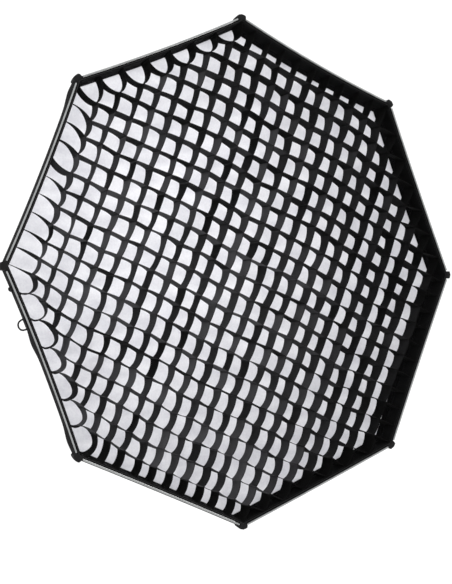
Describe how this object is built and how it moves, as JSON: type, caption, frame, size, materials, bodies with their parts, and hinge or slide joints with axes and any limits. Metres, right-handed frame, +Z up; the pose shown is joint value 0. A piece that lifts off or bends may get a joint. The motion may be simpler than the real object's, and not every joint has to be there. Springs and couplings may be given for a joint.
{
  "type": "softbox honeycomb grid",
  "caption": "Octagonal fabric egg-crate grid held by hook-and-loop in the black front rim of a softbox, over a white diffusion cloth, with rod pockets at the corners.",
  "frame": {"origin": "centre of the octagon, halfway between the rim's foremost plane and the lip's back edge", "axes": "+Z up through the top corner, -Y the way the light leaves, +X to the right seen from the front"},
  "size_m": [1.0842, 0.052, 1.0842],
  "materials": {
    "lip_fabric": "matte",
    "piping": "matte",
    "binding": "matte",
    "loop_tape": "matte",
    "hook_tape": "matte",
    "pocket_fabric": "matte",
    "cord": "matte",
    "tab_fabric": "matte",
    "diffusion_cloth": "matte",
    "hem_fabric": "matte",
    "border_fabric": "matte",
    "slat_fabric": "matte"
  },
  "bodies": {
    "rim": {"lip_panel_1": "lip_fabric", "lip_panel_2": "lip_fabric", "lip_panel_3": "lip_fabric", "lip_panel_4": "lip_fabric", "lip_panel_5": "lip_fabric", "lip_panel_6": "lip_fabric", "lip_panel_7": "lip_fabric", "lip_panel_8": "lip_fabric", "piping": "piping", "rim_binding": "binding", "grid_loop_tape": "loop_tape", "diffuser_loop_tape": "loop_tape", "tip_pocket_right": "pocket_fabric", "tip_pocket_upper_right": "pocket_fabric", "tip_pocket_top": "pocket_fabric", "tip_pocket_upper_left": "pocket_fabric", "tip_pocket_left": "pocket_fabric", "tip_pocket_lower_left": "pocket_fabric", "tip_pocket_bottom": "pocket_fabric", "tip_pocket_lower_right": "pocket_fabric", "hang_loop": "cord", "hang_loop_tab": "tab_fabric", "side_tab": "tab_fabric"},
    "diffuser": {"diffuser_cloth": "diffusion_cloth", "diffuser_hem": "hem_fabric", "diffuser_hook_tape": "hook_tape"},
    "grid": {"grid_border_1": "border_fabric", "grid_border_2": "border_fabric", "grid_border_3": "border_fabric", "grid_border_4": "border_fabric", "grid_border_5": "border_fabric", "grid_border_6": "border_fabric", "grid_border_7": "border_fabric", "grid_border_8": "border_fabric", "grid_hook_tape": "hook_tape", "slat_steep_00": "slat_fabric", "slat_steep_01": "slat_fabric", "slat_steep_02": "slat_fabric", "slat_steep_03": "slat_fabric", "slat_steep_04": "slat_fabric", "slat_steep_05": "slat_fabric", "slat_steep_06": "slat_fabric", "slat_steep_07": "slat_fabric", "slat_steep_08": "slat_fabric", "slat_steep_09": "slat_fabric", "slat_steep_10": "slat_fabric", "slat_steep_11": "slat_fabric", "slat_shallow_00": "slat_fabric", "slat_shallow_01": "slat_fabric", "slat_shallow_02": "slat_fabric", "slat_shallow_03": "slat_fabric", "slat_shallow_04": "slat_fabric", "slat_shallow_05": "slat_fabric", "slat_shallow_06": "slat_fabric", "slat_shallow_07": "slat_fabric", "slat_shallow_08": "slat_fabric", "slat_shallow_09": "slat_fabric", "slat_shallow_10": "slat_fabric", "slat_shallow_11": "slat_fabric"}
  },
  "joints": [
    {"name": "diffuser_release", "type": "slide", "parent": "rim", "child": "diffuser", "axis": [0, -1, 0], "range_m": [0, 0.12]},
    {"name": "grid_release", "type": "slide", "parent": "diffuser", "child": "grid", "axis": [0, -1, 0], "range_m": [0, 0.12]}
  ]
}
